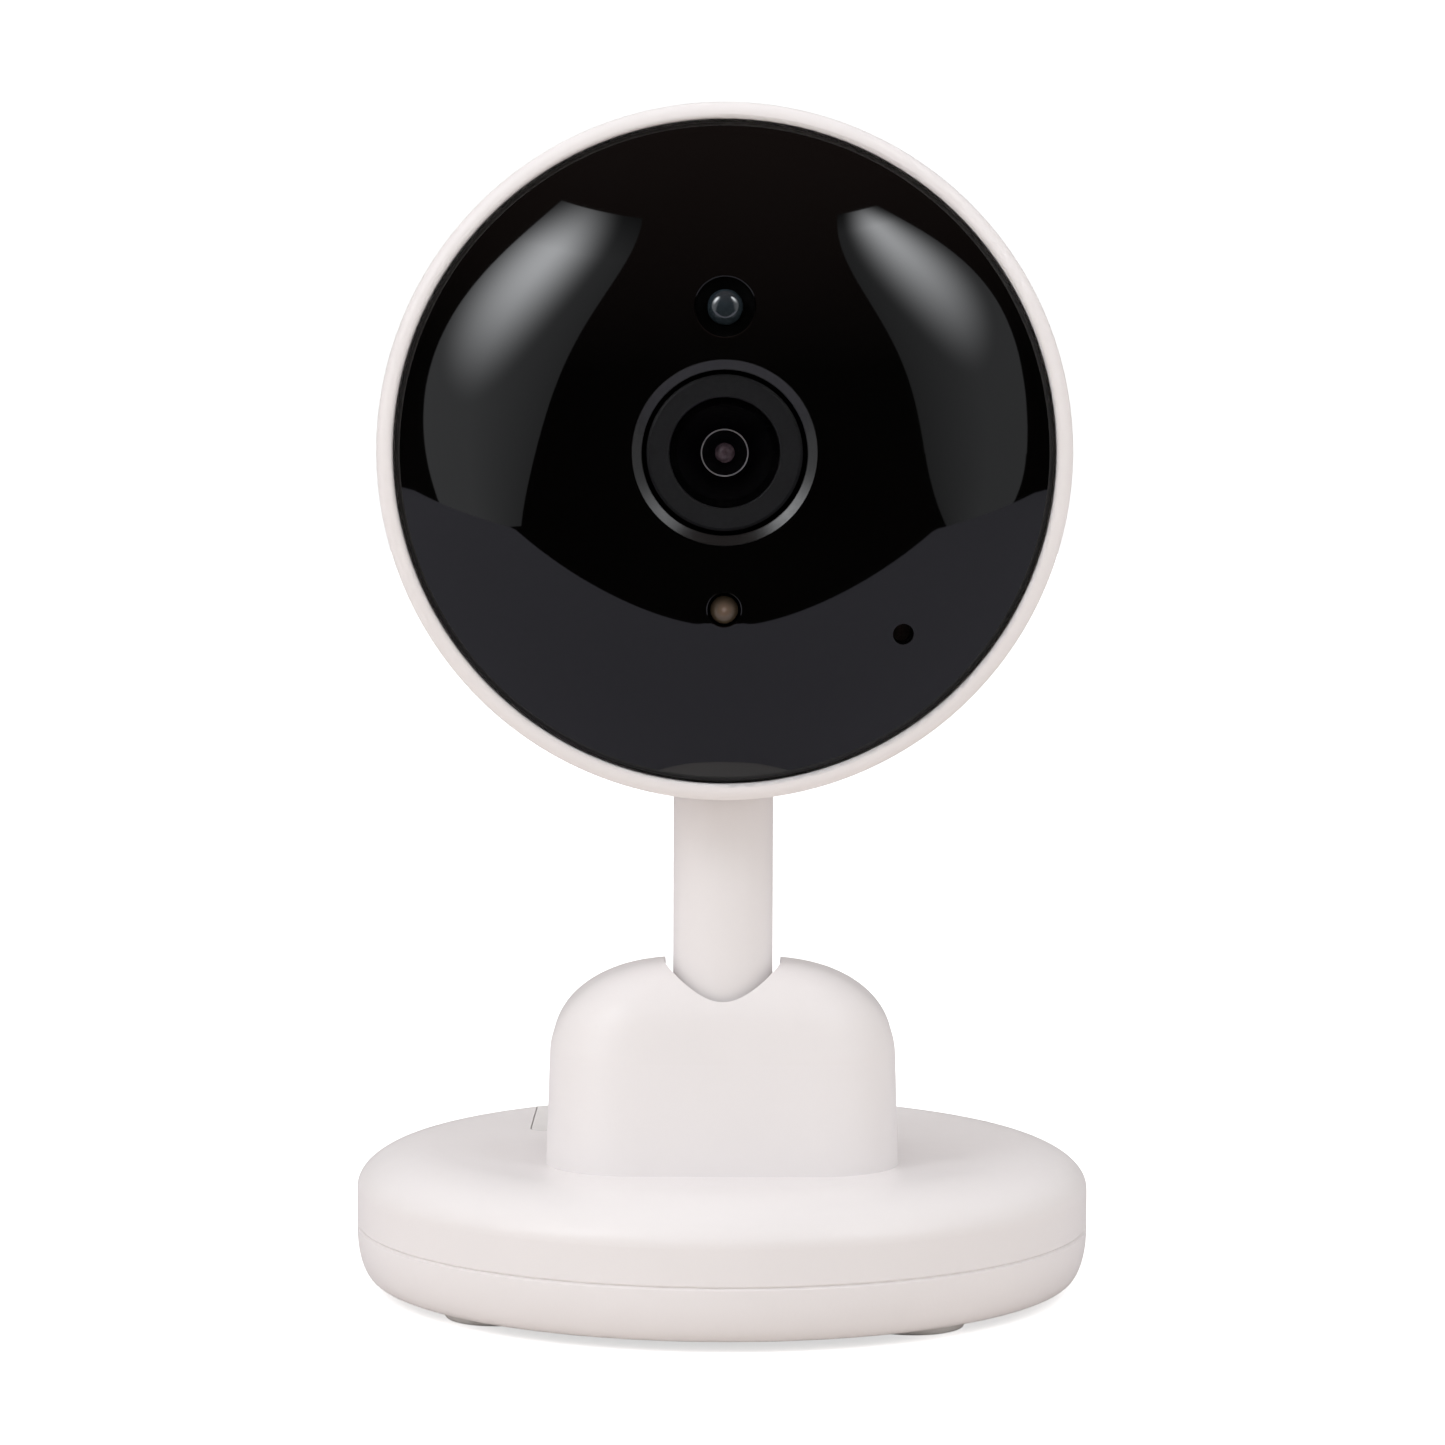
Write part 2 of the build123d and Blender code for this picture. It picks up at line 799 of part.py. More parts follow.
with BuildPart() as front_ring:
    revolve(ring_section(), axis=head_axis)
    with BuildSketch(head_plane(window_seat)):
        with Locations(*head_screw_places):
            Circle(head_screw_head_radius + running_clearance)
    extrude(amount=-head_screw_head_height / 2, mode=Mode.SUBTRACT)
    with BuildSketch(head_plane(window_seat)):
        with Locations(*head_screw_places):
            Circle(head_screw_radius + running_clearance)
    extrude(amount=-2 * flange_thickness, mode=Mode.SUBTRACT)
    with BuildSketch(head_plane(window_seat)):
        with Locations(mic_place):
            Circle(mic_boot_radius + mic_boot_gap)
    extrude(amount=-flange_thickness, mode=Mode.SUBTRACT)
    with BuildSketch(head_plane(window_seat - cut_margin)):
        with Locations((0, -(flange_inner_radius + cut_margin + ring_inner_radius) / 2)):
            Rectangle(
                2 * (collar_radius + stem_clearance),
                ring_inner_radius - flange_inner_radius - cut_margin,
            )
    extrude(amount=-(part_line + tongue_depth + 2 * cut_margin - window_seat), mode=Mode.SUBTRACT)
save(front_ring, "front_ring")

head_screws = screw_set(
    rear_plane(window_seat + head_screw_head_height / 2),
    [(-x, y) for x, y in head_screw_places],
    head_screw_head_radius,
    head_screw_head_height,
    head_screw_radius,
    head_screw_length,
)
save(head_screws, "head_screws")


def window_section():
    """Half section of the domed window: two spheres about one centre and a flat rim at the seat."""
    inner_seat = sqrt(window_inner_sphere**2 - (window_center - window_seat) ** 2)
    outer_middle = window_radius / 2
    inner_middle = inner_seat / 2
    with BuildSketch(head_section) as section:
        with BuildLine():
            ThreePointArc(
                (0, window_apex),
                (outer_middle, window_outer_y(outer_middle)),
                (window_radius, window_outer_y(window_radius)),
            )
            Polyline(
                (window_radius, window_outer_y(window_radius)),
                (window_radius, window_seat),
                (inner_seat, window_seat),
            )
            ThreePointArc(
                (inner_seat, window_seat),
                (inner_middle, window_inner_y(inner_middle)),
                (0, window_apex + window_thickness),
            )
            Line((0, window_apex + window_thickness), (0, window_apex))
        make_face()
    return section.sketch


def is_near(place, reach):
    """A test for edges whose middle lies within half a reach of a place."""
    return lambda edge: (edge.center(CenterOf.BOUNDING_BOX) - place).length < reach / 2


with BuildPart() as front_window:
    revolve(window_section(), axis=head_axis)
    circles = front_window.edges().filter_by(GeomType.CIRCLE)
    rim = circles.filter_by(lambda edge: abs(edge.radius - window_radius) < running_clearance)
    chamfer(rim.sort_by(Axis.Y)[0], window_bevel)
    with BuildSketch(head_plane(window_apex)):
        Circle(lens_hole_radius + running_clearance)
        with Locations((0, sensor_rise)):
            Circle(sensor_recess_radius)
        with Locations((0, -led_drop)):
            Circle(led_hole_radius)
        with Locations(mic_place):
            Circle(mic_hole_radius)
    extrude(amount=-(window_seat - window_apex), mode=Mode.SUBTRACT)
    for x, z, radius in ((0, sensor_rise, sensor_recess_radius), (0, -led_drop, led_hole_radius)):
        mouth = Vector(x, window_outer_y(abs(z)), head_height + z)
        chamfer(front_window.edges().sort_by_distance(mouth).filter_by(is_near(mouth, radius)), hole_chamfer)
save(front_window, "front_window")

# ==== head: lens ====
trim_front = window_outer_y(lens_hole_radius)

with BuildPart() as lens_trim_ring:
    with BuildSketch(head_section):
        with BuildLine():
            Polyline(
                (lens_hole_radius, trim_front),
                (lens_hole_radius, trim_front + trim_depth),
                (trim_inner_radius, trim_front + trim_depth),
                (trim_inner_radius, trim_front + trim_dish + trim_land),
                (trim_inner_radius + trim_land, trim_front + trim_dish),
                (lens_hole_radius - trim_land, trim_front),
                close=True,
            )
        make_face()
    revolve(axis=head_axis)
save(lens_trim_ring, "lens_trim_ring")

glass_seat = barrel_face + front_glass_edge + front_glass_thickness
cap_back = barrel_face + barrel_cap_length
cone_front = glass_seat + spacer_land
cone_back = cone_front + cone_length
throat_back = cone_back + throat_length
rear_seat = barrel_rear - rear_glass_recess
cone_front_radius = front_glass_radius - spacer_wall

with BuildPart() as lens_barrel:
    with BuildSketch(head_section):
        with BuildLine():
            Polyline(
                (front_glass_radius, barrel_face + hole_chamfer),
                (front_glass_radius + hole_chamfer, barrel_face),
                (barrel_cap_radius - window_bevel, barrel_face),
                (barrel_cap_radius, barrel_face + window_bevel),
                (barrel_cap_radius, cap_back),
                (barrel_thread_radius, cap_back),
                (barrel_thread_radius, barrel_rear),
                (rear_glass_radius, barrel_rear),
                (rear_glass_radius, rear_seat),
                (inner_glass_radius, rear_seat),
                (inner_glass_radius, throat_back),
                (front_glass_radius, throat_back),
                close=True,
            )
        make_face()
    revolve(axis=head_axis)
save(lens_barrel, "lens_barrel")

with BuildPart() as lens_front_element:
    edge_y = barrel_face + front_glass_edge
    dome_center = edge_y + sqrt(front_glass_sphere**2 - front_glass_radius**2)
    middle = front_glass_radius / 2
    with BuildSketch(head_section):
        with BuildLine():
            ThreePointArc(
                (0, dome_center - front_glass_sphere),
                (middle, dome_center - sqrt(front_glass_sphere**2 - middle**2)),
                (front_glass_radius, edge_y),
            )
            Polyline((front_glass_radius, edge_y), (front_glass_radius, glass_seat), (0, glass_seat))
            Line((0, glass_seat), (0, dome_center - front_glass_sphere))
        make_face()
    revolve(axis=head_axis)
save(lens_front_element, "lens_front_element")

with BuildPart() as lens_spacer:
    with BuildSketch(head_section):
        with BuildLine():
            Polyline(
                (front_glass_radius, glass_seat),
                (front_glass_radius, throat_back),
                (inner_glass_radius, throat_back),
                (inner_glass_radius, cone_back),
                (cone_front_radius, cone_front),
                (cone_front_radius, glass_seat),
                close=True,
            )
        make_face()
    revolve(axis=head_axis)
save(lens_spacer, "lens_spacer")

with BuildPart() as lens_inner_element:
    with BuildSketch(head_plane(cone_back + inner_glass_recess)):
        Circle(inner_glass_radius)
    extrude(amount=-inner_glass_thickness)
    chamfer(lens_inner_element.edges().sort_by(Axis.Y)[0], inner_glass_edge)
save(lens_inner_element, "lens_inner_element")

with BuildPart() as lens_rear_element:
    with BuildSketch(head_plane(rear_seat)):
        Circle(rear_glass_radius)
    extrude(amount=-rear_glass_thickness)
save(lens_rear_element, "lens_rear_element")

# ==== head: lens holder and infrared filter ====
box_front = sensor_board_front - holder_box_depth
holder_inside = holder_half_width - holder_wall
holder_screw_places = [(side * (holder_half_width + holder_ear_reach) / 2, 0) for side in (-1, 1)]
slide_front = box_front + holder_wall + slide_gap
slide_half_length = filter_travel / 2 + filter_window_radius + slide_end_wall
slide_half_height = filter_window_radius + slide_side_wall
filter_places = [(side * filter_travel / 2, 0) for side in (-1, 1)]
slide_center = filter_travel / 2

with BuildPart() as lens_holder:
    with BuildSketch(head_plane(holder_tube_front)):
        Circle(holder_tube_radius)
    extrude(amount=-(box_front - holder_tube_front + holder_wall / 2))
    with BuildSketch(head_plane(box_front)):
        Rectangle(2 * holder_half_width, 2 * holder_half_width)
    extrude(amount=-holder_box_depth)
    with BuildSketch(head_plane(sensor_board_front - holder_ear_thickness)):
        Rectangle(2 * holder_ear_reach, 2 * holder_ear_half_height)
    extrude(amount=-holder_ear_thickness)
    with BuildSketch(head_plane(box_front + holder_wall)):
        Rectangle(2 * holder_inside, 2 * holder_inside)
    extrude(amount=-holder_box_depth, mode=Mode.SUBTRACT)
    with BuildSketch(head_plane(holder_tube_front)):
        Circle(barrel_thread_radius + holder_bore_clearance)
    extrude(amount=-(box_front - holder_tube_front + 2 * holder_wall), mode=Mode.SUBTRACT)
    with BuildSketch(head_plane(sensor_board_front - holder_ear_thickness)):
        with Locations(*holder_screw_places):
            Circle(holder_screw_radius)
    extrude(amount=-holder_ear_thickness, mode=Mode.SUBTRACT)
save(lens_holder, "lens_holder")

with BuildPart() as filter_slide:
    with BuildSketch(head_plane(slide_front)):
        with Locations((slide_center, 0)):
            Rectangle(2 * slide_half_length, 2 * slide_half_height)
        for x, y in filter_places:
            with Locations((slide_center + x, y)):
                Circle(filter_window_radius, mode=Mode.SUBTRACT)
    extrude(amount=-filter_slide_thickness)
save(filter_slide, "filter_slide")

for name, side in (("infrared_cut_filter", -1), ("clear_filter", 1)):
    with BuildPart() as filter_glass:
        with BuildSketch(head_plane(slide_front)):
            with Locations((slide_center + side * filter_travel / 2, 0)):
                Circle(filter_window_radius)
        extrude(amount=-filter_slide_thickness)
    save(filter_glass, name)

with BuildPart() as filter_actuator:
    with BuildSketch(head_plane(box_front)):
        with Locations((0, holder_half_width + actuator_height / 2)):
            RectangleRounded(actuator_width, actuator_height, actuator_corner)
    extrude(amount=-(holder_box_depth - actuator_rear_gap))
save(filter_actuator, "filter_actuator")

# ==== head: boards and what they carry ====
with BuildPart() as image_sensor:
    with BuildSketch(head_plane(sensor_board_front)):
        Rectangle(image_sensor_width, image_sensor_height)
    extrude(amount=image_sensor_thickness)
save(image_sensor, "image_sensor")

with BuildPart() as sensor_board:
    with BuildSketch(head_plane(sensor_board_front)):
        RectangleRounded(2 * sensor_board_half_width, 2 * sensor_board_half_height, board_corner)
        with Locations(*holder_screw_places):
            Circle(holder_screw_radius + running_clearance, mode=Mode.SUBTRACT)
    extrude(amount=-board_thickness)
save(sensor_board, "sensor_board")

holder_screws = screw_set(
    head_plane(sensor_board_back),
    holder_screw_places,
    holder_screw_head_radius,
    holder_screw_head_height,
    holder_screw_radius,
    board_thickness + holder_ear_thickness,
)
save(holder_screws, "holder_screws")

with BuildPart() as board_connector:
    with BuildSketch(head_plane(sensor_board_back)):
        with Locations((0, -connector_drop)):
            Rectangle(connector_width, connector_height)
    extrude(amount=-(main_board_front - sensor_board_back))
save(board_connector, "board_connector")

with BuildPart() as main_board:
    with BuildSketch(head_plane(main_board_front)):
        Circle(main_board_radius)
        with Locations((card_tab_reach / 2, 0)):
            Rectangle(card_tab_reach, 2 * card_tab_half_height)
    extrude(amount=-board_thickness)
save(main_board, "main_board")

with BuildPart() as shield_can:
    with BuildSketch(head_plane(main_board_front)):
        with Locations(shield_place):
            RectangleRounded(shield_width, shield_height, shield_corner)
    extrude(amount=shield_depth)
save(shield_can, "shield_can")

with BuildPart() as processor:
    with BuildSketch(head_plane(main_board_back)):
        with Locations(processor_place):
            Rectangle(processor_side, processor_side)
    extrude(amount=-processor_thickness)
save(processor, "processor")

with BuildPart() as memory_card_socket:
    with BuildSketch(head_plane(main_board_front)):
        with Locations((card_tab_reach - card_socket_depth / 2, 0)):
            Rectangle(card_socket_depth, card_socket_width)
    extrude(amount=card_slot_height)
    with BuildSketch(head_plane(main_board_front - card_shelf)):
        with Locations((card_tab_reach - card_socket_depth / 2 + card_stop, 0)):
            Rectangle(card_socket_depth, card_width)
    extrude(amount=card_thickness, mode=Mode.SUBTRACT)
save(memory_card_socket, "memory_card_socket")

with BuildPart() as usb_socket:
    with BuildSketch(head_plane(main_board_back)):
        with Locations((0, -port_drop)):
            RectangleRounded(usb_width, usb_height, usb_corner)
    extrude(amount=-(usb_mouth - main_board_back))
    with BuildSketch(head_plane(usb_mouth)):
        with Locations((0, -port_drop)):
            RectangleRounded(usb_width - 2 * usb_wall, usb_height - 2 * usb_wall, usb_corner - usb_wall)
    extrude(amount=usb_mouth - main_board_back - usb_floor, mode=Mode.SUBTRACT)
save(usb_socket, "usb_socket")

with BuildPart() as usb_tongue:
    with BuildSketch(head_plane(main_board_back + usb_floor)):
        with Locations((0, -port_drop - usb_tongue_thickness / 2)):
            Rectangle(usb_tongue_width, usb_tongue_thickness)
    extrude(amount=-(usb_mouth - usb_tongue_recess - main_board_back - usb_floor))
save(usb_tongue, "usb_tongue")

button_back = back_face + button_proud
flange_front = back_inner - running_clearance - button_flange_thickness

with BuildPart() as reset_button:
    with BuildSketch(head_plane(flange_front)):
        with Locations((button_x, -port_drop)):
            Circle(button_flange_radius)
    extrude(amount=-button_flange_thickness)
    with BuildSketch(head_plane(flange_front)):
        with Locations((button_x, -port_drop)):
            Circle(button_radius)
    extrude(amount=-(button_back - flange_front))
    fillet(reset_button.edges().sort_by(Axis.Y)[-1], button_edge)
save(reset_button, "reset_button")

with BuildPart() as reset_switch:
    with BuildSketch(head_plane(main_board_back)):
        with Locations((button_x, -port_drop)):
            RectangleRounded(switch_side, switch_side, switch_corner)
    extrude(amount=-switch_depth)
    with BuildSketch(head_plane(main_board_back + switch_depth)):
        with Locations((button_x, -port_drop)):
            Circle(switch_pin_radius)
    extrude(amount=-(flange_front - button_travel - running_clearance - main_board_back - switch_depth))
save(reset_switch, "reset_switch")

with BuildPart() as speaker:
    with BuildSketch(head_plane(speaker_front)):
        with Locations(speaker_center):
            Circle(speaker_magnet_radius)
    extrude(amount=-speaker_depth / 2)
    with BuildSketch(head_plane(speaker_front + speaker_depth / 2)):
        with Locations(speaker_center):
            Circle(speaker_radius)
    extrude(amount=-speaker_depth / 2)
    with BuildSketch(head_plane(speaker_front + speaker_depth)):
        with Locations(speaker_center):
            Circle(speaker_radius - speaker_rim)
    extrude(amount=speaker_cone_depth, mode=Mode.SUBTRACT)
save(speaker, "speaker")

with BuildPart() as speaker_gasket:
    with BuildSketch(head_plane(speaker_front + speaker_depth)):
        with Locations(speaker_center):
            Circle(speaker_radius)
            Circle(speaker_radius - speaker_rim, mode=Mode.SUBTRACT)
    extrude(amount=-(back_inner - speaker_front - speaker_depth))
save(speaker_gasket, "speaker_gasket")

with BuildPart() as wifi_antenna:
    with BuildSketch(Plane.YZ.offset(-antenna_reach)):
        with Locations((stem_y, head_height + antenna_rise)):
            RectangleRounded(antenna_width, antenna_length, antenna_corner)
    extrude(amount=antenna_thickness)
save(wifi_antenna, "wifi_antenna")

# ==== head: light board behind the window ====
with BuildPart() as led_board:
    with BuildSketch(head_plane(led_board_front)):
        Circle(led_board_outer)
        Circle(led_board_inner, mode=Mode.SUBTRACT)
        with Locations(mic_place):
            Circle(mic_boot_radius + mic_boot_gap, mode=Mode.SUBTRACT)
        with Locations((0, -led_board_outer)):
            Rectangle(2 * (collar_radius + cut_margin), 2 * led_board_notch, mode=Mode.SUBTRACT)
    extrude(amount=-led_board_thickness)
save(led_board, "led_board")

infrared_angles = [360 * step / infrared_count for step in range(infrared_count)]
infrared_places = [
    (infrared_circle * cos(radians(angle)), infrared_circle * sin(radians(angle)))
    for angle in infrared_angles
]

with BuildPart() as infrared_leds:
    with BuildSketch(head_plane(led_board_front)):
        with Locations(*infrared_places):
            RectangleRounded(infrared_side, infrared_side, infrared_corner)
    extrude(amount=infrared_thickness)
save(infrared_leds, "infrared_leds")

sensor_tip = window_outer_y(sensor_rise) + sensor_tip_recess

with BuildPart() as light_sensor:
    with BuildSketch(head_plane(led_board_front)):
        with Locations((0, sensor_rise)):
            Circle(sensor_body_radius)
    extrude(amount=led_board_front - sensor_tip - sensor_body_radius)
    with Locations((0, sensor_tip + sensor_body_radius, head_height + sensor_rise)):
        Sphere(sensor_body_radius)
save(light_sensor, "light_sensor")

with BuildPart() as sensor_sleeve:
    with BuildSketch(head_plane(led_board_front)):
        with Locations((0, sensor_rise)):
            Circle(sensor_recess_radius - running_clearance)
            Circle(sensor_body_radius + running_clearance, mode=Mode.SUBTRACT)
    extrude(amount=led_board_front - sensor_tip - sensor_body_radius)
save(sensor_sleeve, "sensor_sleeve")

led_tip = window_outer_y(led_drop) + led_tip_recess

with BuildPart() as status_led:
    with BuildSketch(head_plane(led_board_front)):
        with Locations((0, -led_drop)):
            Circle(led_radius)
    extrude(amount=led_board_front - led_tip - led_radius)
    with Locations((0, led_tip + led_radius, head_height - led_drop)):
        Sphere(led_radius)
save(status_led, "status_led")

boot_front = window_inner_y(sqrt(mic_x**2 + mic_drop**2) + mic_boot_radius) + lip_clearance

with BuildPart() as mic_boot:
    with BuildSketch(head_plane(boot_front)):
        with Locations(mic_place):
            Circle(mic_boot_radius)
    extrude(amount=-mic_boot_depth)
    with BuildSketch(head_plane(boot_front)):
        with Locations(mic_place):
            Circle(mic_port_radius)
    extrude(amount=-mic_boot_depth, mode=Mode.SUBTRACT)
    with BuildSketch(head_plane(boot_front + mic_boot_front_wall)):
        with Locations(mic_place):
            Circle(mic_radius)
    extrude(amount=-mic_boot_depth, mode=Mode.SUBTRACT)
save(mic_boot, "mic_boot")

with BuildPart() as microphone:
    with BuildSketch(head_plane(boot_front + mic_boot_front_wall)):
        with Locations(mic_place):
            Circle(mic_radius)
    extrude(amount=-mic_thickness)
save(microphone, "microphone")
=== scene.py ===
"""Looks of a baby monitor camera on a folding stand: finishes, finely made pieces, light and camera.

Metres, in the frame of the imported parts: +Z up, the lens looks along -Y.
"""

import json
import math

import bmesh
import bpy
import numpy as np
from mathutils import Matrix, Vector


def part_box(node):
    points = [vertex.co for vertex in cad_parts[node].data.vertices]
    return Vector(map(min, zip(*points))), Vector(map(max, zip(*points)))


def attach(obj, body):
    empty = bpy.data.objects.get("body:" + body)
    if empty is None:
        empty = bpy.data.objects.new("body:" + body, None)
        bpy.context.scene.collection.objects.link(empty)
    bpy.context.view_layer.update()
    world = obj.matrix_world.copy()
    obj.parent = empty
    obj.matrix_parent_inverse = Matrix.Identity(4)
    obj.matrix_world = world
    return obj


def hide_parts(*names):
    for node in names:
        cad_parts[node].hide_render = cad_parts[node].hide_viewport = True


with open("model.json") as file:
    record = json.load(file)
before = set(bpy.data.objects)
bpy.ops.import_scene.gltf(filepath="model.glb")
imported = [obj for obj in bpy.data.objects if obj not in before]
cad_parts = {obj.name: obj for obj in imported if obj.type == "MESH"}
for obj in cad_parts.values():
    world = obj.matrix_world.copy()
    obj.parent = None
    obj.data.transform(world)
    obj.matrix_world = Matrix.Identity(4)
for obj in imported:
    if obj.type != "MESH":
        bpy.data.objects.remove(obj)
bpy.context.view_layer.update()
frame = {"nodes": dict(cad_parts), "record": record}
nodes = frame["nodes"]
MM = 0.001


# ---- shared helpers ----
def srgb(code):
    """An sRGB hex code as linear red, green, blue and an alpha of one."""
    parts = [int(code[i:i + 2], 16) / 255 for i in (1, 3, 5)]
    return tuple(c / 12.92 if c <= 0.04045 else ((c + 0.055) / 1.055) ** 2.4 for c in parts) + (1.0,)


def add(tree, kind, links=None, **settings):
    """Adds one node: settings are its own properties, and links are socket values or the sockets that feed them."""
    node = tree.nodes.new("ShaderNode" + kind)
    for name, value in settings.items():
        setattr(node, name, value)
    for socket, value in (links or {}).items():
        if isinstance(value, bpy.types.NodeSocket):
            tree.links.new(value, node.inputs[socket])
        else:
            node.inputs[socket].default_value = value
    return node


def new_finish(name, **constants):
    """An empty material with one Principled shader, whose constants are set on its own sockets."""
    material = bpy.data.materials.new(name)
    material.use_nodes = True
    tree = material.node_tree
    tree.nodes.clear()
    shader = add(tree, "BsdfPrincipled", {key.replace("_", " "): value for key, value in constants.items()})
    add(tree, "OutputMaterial", {"Surface": shader.outputs[0]})
    return material, tree, shader


def grained(name, light, dark, patch_mm, rough, rough_spread, grain_mm, grain_depth_mm, **constants):
    """A surface with slow colour drift, uneven gloss and a fine grain.

    The colour runs between light and dark over patches of patch_mm, the roughness swings by rough_spread about
    rough, and the grain is a height noise of grain_mm spacing and grain_depth_mm depth.
    """
    material, tree, shader = new_finish(name, **constants)
    place = add(tree, "TexCoord").outputs["Object"]
    drift = add(tree, "TexNoise", {"Vector": place, "Scale": 1 / (patch_mm * MM), "Detail": 3.0})
    tint = add(tree, "MapRange", {"Value": drift.outputs["Fac"], "From Min": 0.35, "From Max": 0.65})
    colour = add(tree, "Mix", {0: tint.outputs[0], 6: srgb(light), 7: srgb(dark)}, data_type="RGBA")
    uneven = add(tree, "TexNoise", {"Vector": place, "Scale": 1 / (4 * grain_mm * MM), "Detail": 2.0})
    gloss = add(
        tree,
        "MapRange",
        {
            "Value": uneven.outputs["Fac"],
            "From Min": 0.3,
            "From Max": 0.7,
            "To Min": rough - rough_spread,
            "To Max": rough + rough_spread,
        },
    )
    grain = add(tree, "TexNoise", {"Vector": place, "Scale": 1 / (grain_mm * MM), "Detail": 1.0})
    bump = add(tree, "Bump", {"Height": grain.outputs["Fac"], "Strength": 1.0, "Distance": grain_depth_mm * MM})
    tree.links.new(colour.outputs[2], shader.inputs["Base Color"])
    tree.links.new(gloss.outputs[0], shader.inputs["Roughness"])
    tree.links.new(bump.outputs[0], shader.inputs["Normal"])
    return material


# ---- finishes ----
# Moulded ABS, spark-eroded tool: warm off-white with a fine satin grain that softens its highlights.
white_abs = grained("moulded_white_abs", "#F0ECEC", "#EDE9E9", 25, 0.42, 0.04, 0.35, 0.004, IOR=1.54)
# Moulded TPU: a soft light grey with hardly any gloss.
grey_tpu = grained("moulded_grey_tpu", "#E2DFDE", "#DBD8D7", 8, 0.62, 0.05, 0.3, 0.01, IOR=1.5)
# Moulded silicone feet: pale, slightly dusty and dull.
silicone = grained("moulded_silicone", "#F3F1EF", "#E9E7E5", 3, 0.55, 0.08, 0.25, 0.01, IOR=1.43)
# Zinc plated steel plate: pale grey metal with soft cloudy patches.
zinc_steel = grained("zinc_plated_steel", "#B9BCC0", "#A3A7AC", 4, 0.36, 0.08, 0.4, 0.004, Metallic=1.0)
# Nickel plated screws: brighter and smoother than the plate.
screw_steel = grained("nickel_plated_steel", "#CFCBC3", "#BDB9B1", 2, 0.22, 0.06, 0.15, 0.002, Metallic=1.0)
# Natural nylon washers: milky and waxy.
nylon = grained("moulded_natural_nylon", "#DAD6C9", "#CEC9BA", 3, 0.45, 0.05, 0.2, 0.004, IOR=1.53)
# Satin black ring round the lens: a charcoal paint-like sheen on moulded plastic.
black_trim = grained("moulded_satin_black", "#151515", "#121213", 4, 0.24, 0.03, 0.12, 0.001, IOR=1.6)
# Blackened lens parts: very dull, so that stray light dies on them.
lens_black = grained("matt_black_lens_plastic", "#0A0A0E", "#09090C", 2, 0.6, 0.05, 0.12, 0.004, IOR=1.54)
# Epoxy moulded chips: charcoal and matt.
chip_black = grained("epoxy_moulded_chip", "#202224", "#1A1C1E", 2, 0.55, 0.06, 0.15, 0.003, IOR=1.55)
# Green solder mask over copper and glass cloth: glossy, with the weave faintly lifting it.
green_board = grained("green_solder_mask", "#0E5A2C", "#0B4A24", 3, 0.3, 0.06, 0.5, 0.004, IOR=1.55)
# Black solder mask on the light board.
black_board = grained("black_solder_mask", "#141516", "#101112", 3, 0.34, 0.06, 0.5, 0.004, IOR=1.55)
# Cream nylon connector body.
connector_white = grained("moulded_cream_nylon", "#E4DDC8", "#DAD2BA", 2, 0.45, 0.05, 0.2, 0.003, IOR=1.53)
# Tin plated sheet: soft silver with fingerprints' worth of haze.
tin_plate = grained("tin_plated_sheet", "#C9C8C2", "#B5B4AE", 3, 0.3, 0.08, 0.2, 0.003, Metallic=1.0)
# Grey ABS button.
grey_abs = grained("moulded_grey_abs", "#8F8F90", "#868687", 2, 0.42, 0.05, 0.2, 0.003, IOR=1.54)
# Closed-cell foam and rubber: black, soft and dusty.
foam = grained("closed_cell_foam", "#1B1B1B", "#262626", 0.8, 0.85, 0.05, 0.3, 0.05, IOR=1.5)
# Lacquered copper laminate of the antenna.
copper_laminate = grained("lacquered_copper", "#B8763E", "#A3652F", 2, 0.3, 0.06, 0.2, 0.002, Metallic=0.9)
# Water-clear epoxy over the infrared chips, milky yellow from the phosphor-free die below.
led_epoxy = grained("cast_clear_epoxy", "#CFC9A0", "#BDB68A", 1, 0.12, 0.03, 0.3, 0.002, IOR=1.53)
# Smoked blue-black epoxy dome of the light sensor.
dark_epoxy = grained("cast_smoked_epoxy", "#262E33", "#21292E", 1, 0.1, 0.02, 0.4, 0.0003, IOR=1.9)
# Diffused warm epoxy of the status lamp.
amber_epoxy = grained("cast_diffused_epoxy", "#9A8474", "#8B7565", 1, 0.22, 0.04, 0.3, 0.002, IOR=1.53)
# Polished acrylic: near-black glass-like gloss that mirrors the studio.
black_acrylic = grained("polished_black_acrylic", "#020202", "#030303", 20, 0.03, 0.006, 6, 0.0003, IOR=1.49)
# Coated optical glass: dark, with a violet cast from its anti-reflection layers.
coated_glass = grained("coated_optical_glass", "#050507", "#08070A", 2, 0.02, 0.005, 1, 0.0001, IOR=1.6)

# Coated crown glass: mostly see-through, so the eye looks in, with only a faint dark sheen on it.
clear_glass = grained("coated_crown_glass", "#06050A", "#040307", 2, 0.03, 0.01, 1, 0.0001, IOR=1.5, Alpha=0.14)
# High-index glass with a rose coating over a black back.
rose_coated_glass = grained("rose_coated_glass", "#75636D", "#5A4B53", 0.4, 0.05, 0.01, 0.4, 0.0001, IOR=2.4)
# Light-trapping flock in the sensor's sleeve and round the inner glass: swallows nearly everything.
black_flock = grained("black_flock", "#020202", "#030303", 0.5, 0.9, 0.04, 0.1, 0.01, IOR=1.3)
# The throat's lip is lightly polished plastic; its pale grey is a painted highlight, standing in for the bright ring
# it catches.
lip_painted_highlight = grained("lens_lip_painted_highlight", "#B4B2B8", "#A8A6AC", 0.5, 0.3, 0.05, 0.1, 0.0005, IOR=1.54)


